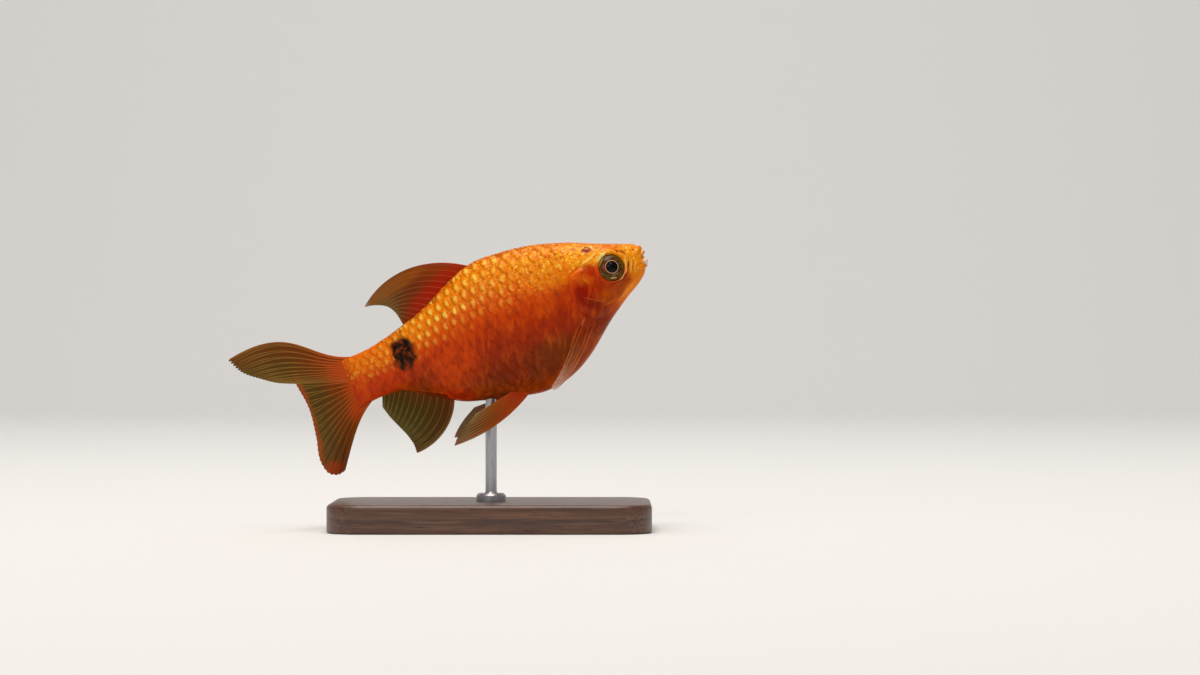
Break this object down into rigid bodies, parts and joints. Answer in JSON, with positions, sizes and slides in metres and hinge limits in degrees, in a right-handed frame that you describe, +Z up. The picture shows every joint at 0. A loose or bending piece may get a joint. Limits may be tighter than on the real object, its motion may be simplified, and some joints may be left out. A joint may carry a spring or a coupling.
{
  "type": "rosy barb display model",
  "caption": "Life-size still model of a gold rosy barb, a small deep-bodied aquarium fish, swimming nose up over a wooden base on a steel rod.",
  "frame": {"origin": "centre of the underside of the display base, on the surface that the part stands on", "axes": "+X along the base towards the fish's snout, +Y to the fish's left, +Z up"},
  "size_m": [0.0745, 0.032, 0.0503],
  "materials": {
    "gold_orange_skin": "glossy scaled skin, gold above and deep orange red below",
    "red_gill_cover": "smooth glossy plate, red to brassy gold",
    "amber_fin": "translucent amber membrane with orange rays",
    "dark_gold_eye": "wet gloss",
    "oiled_walnut": "oiled, satin",
    "brushed_steel_rod": "brushed lengthwise"
  },
  "bodies": {
    "root": {"head": "gold_orange_skin", "trunk": "gold_orange_skin", "tail_stalk": "gold_orange_skin", "gill_cover_right": "red_gill_cover", "gill_cover_left": "red_gill_cover", "eye_right": "dark_gold_eye", "eye_left": "dark_gold_eye", "dorsal_fin": "amber_fin", "anal_fin": "amber_fin", "tail_fin_upper_lobe": "amber_fin", "tail_fin_lower_lobe": "amber_fin", "pectoral_fin_right": "amber_fin", "pectoral_fin_left": "amber_fin", "pelvic_fin_right": "amber_fin", "pelvic_fin_left": "amber_fin", "stand_base": "oiled_walnut", "stand_rod": "brushed_steel_rod"}
  },
  "joints": []
}
